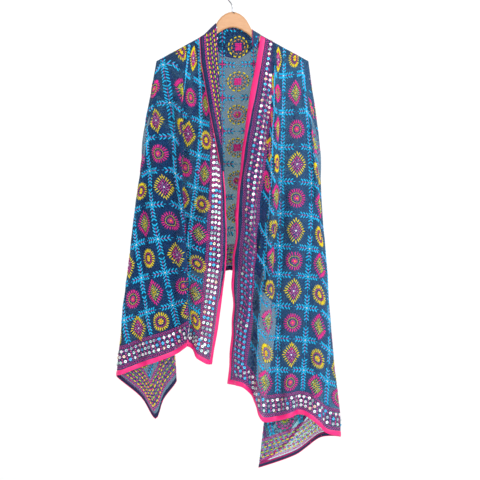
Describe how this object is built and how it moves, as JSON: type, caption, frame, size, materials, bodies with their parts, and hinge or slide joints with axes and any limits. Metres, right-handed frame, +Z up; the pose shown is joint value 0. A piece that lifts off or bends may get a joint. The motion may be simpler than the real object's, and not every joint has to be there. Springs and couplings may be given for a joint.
{
  "type": "phulkari shawl on clothes hanger",
  "caption": "Open embroidered phulkari shawl hung over a bow-shaped wooden clothes hanger with a wire hook.",
  "frame": {"origin": "inside of the crown of the hanger's hook, where a rail holds it", "axes": "+Z up along the hook's stem, -Y out of the front of the shawl, +X to the viewer's right"},
  "size_m": [0.6689, 0.157, 1.4242],
  "materials": {
    "teal_chiffon": "matte",
    "pink_satin": "satin",
    "beech": "satin",
    "steel_wire": "satin"
  },
  "bodies": {
    "root": {"right_front": "teal_chiffon", "right_return": "teal_chiffon", "right_side_pleats": "teal_chiffon", "right_arm_end": "teal_chiffon", "right_neck_turn": "teal_chiffon", "back_panel": "teal_chiffon", "neck_fold_over": "teal_chiffon", "left_arm_end": "teal_chiffon", "left_side_pleats": "teal_chiffon", "left_return": "teal_chiffon", "left_drape": "teal_chiffon", "left_strip": "teal_chiffon", "left_lapel": "teal_chiffon", "edging_right_front": "pink_satin", "edging_left_front": "pink_satin", "edging_hem_right_front": "pink_satin", "edging_hem_right_return": "pink_satin", "edging_hem_right_side_pleats": "pink_satin", "edging_hem_back_panel": "pink_satin", "edging_hem_left_side_pleats": "pink_satin", "edging_hem_left_return": "pink_satin", "edging_hem_left_drape": "pink_satin", "edging_hem_left_strip": "pink_satin", "hanger_wood": "beech", "hanger_hook": "steel_wire"}
  },
  "joints": []
}
